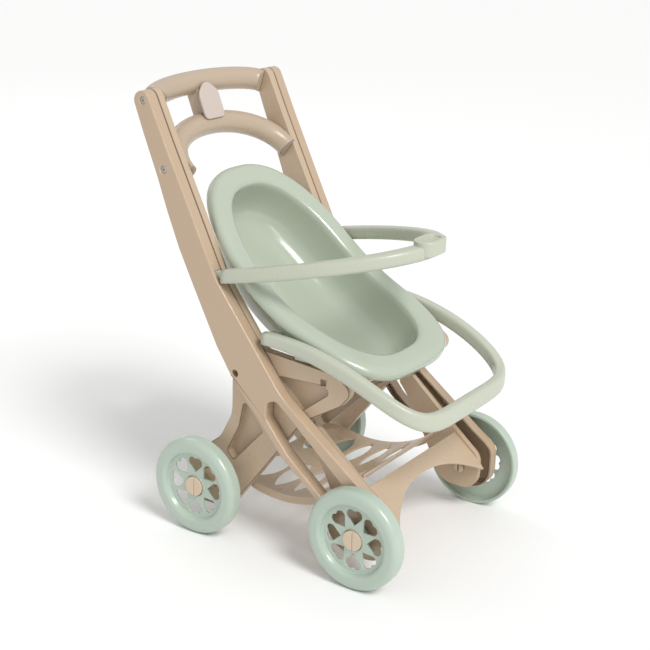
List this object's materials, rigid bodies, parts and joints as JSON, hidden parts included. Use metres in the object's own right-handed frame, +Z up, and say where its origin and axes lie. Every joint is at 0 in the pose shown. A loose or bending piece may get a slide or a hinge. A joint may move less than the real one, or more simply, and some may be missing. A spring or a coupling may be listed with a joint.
{
  "type": "doll stroller",
  "caption": "Four-wheeled moulded plastic doll stroller with bow push handle, bucket seat, bumper bar, foot loop and slotted basket.",
  "frame": {"origin": "on the floor under the middle of the stroller's overall length and width", "axes": "+X across the stroller, the front faces -Y, +Z up from the floor"},
  "size_m": [0.295, 0.4178, 0.5236],
  "materials": {
    "beige_plastic": "satin-gloss moulded",
    "badge_plastic": "satin moulded",
    "sage_plastic": "satin-gloss moulded",
    "wheel_plastic": "satin-gloss moulded",
    "cap_plastic": "satin moulded",
    "screw_steel": "plated"
  },
  "bodies": {
    "chassis": {"side_shell_left": "beige_plastic", "side_shell_right": "beige_plastic", "inner_frame_left": "beige_plastic", "inner_frame_right": "beige_plastic", "push_handle": "beige_plastic", "handle_badge": "badge_plastic", "seat_tub": "sage_plastic", "seat_bracket_left": "sage_plastic", "seat_bracket_right": "sage_plastic", "bumper_bar": "sage_plastic", "bumper_cap": "sage_plastic", "foot_loop": "sage_plastic", "basket": "beige_plastic", "front_left_pin": "cap_plastic", "front_right_pin": "cap_plastic", "rear_left_pin": "cap_plastic", "rear_right_pin": "cap_plastic", "frame_screws_left": "screw_steel", "frame_screws_right": "screw_steel"},
    "front_left": {"front_left_wheel": "wheel_plastic"},
    "front_right": {"front_right_wheel": "wheel_plastic"},
    "rear_left": {"rear_left_wheel": "wheel_plastic"},
    "rear_right": {"rear_right_wheel": "wheel_plastic"}
  },
  "joints": [
    {"name": "front_left_spin", "type": "hinge", "parent": "chassis", "child": "front_left", "pos_m": [0.1385, -0.14388, 0.06], "axis": [1, 0, 0], "continuous": true},
    {"name": "front_right_spin", "type": "hinge", "parent": "chassis", "child": "front_right", "pos_m": [-0.1385, -0.14388, 0.06], "axis": [1, 0, 0], "continuous": true},
    {"name": "rear_left_spin", "type": "hinge", "parent": "chassis", "child": "rear_left", "pos_m": [0.1385, 0.08113, 0.06], "axis": [1, 0, 0], "continuous": true},
    {"name": "rear_right_spin", "type": "hinge", "parent": "chassis", "child": "rear_right", "pos_m": [-0.1385, 0.08113, 0.06], "axis": [1, 0, 0], "continuous": true}
  ]
}
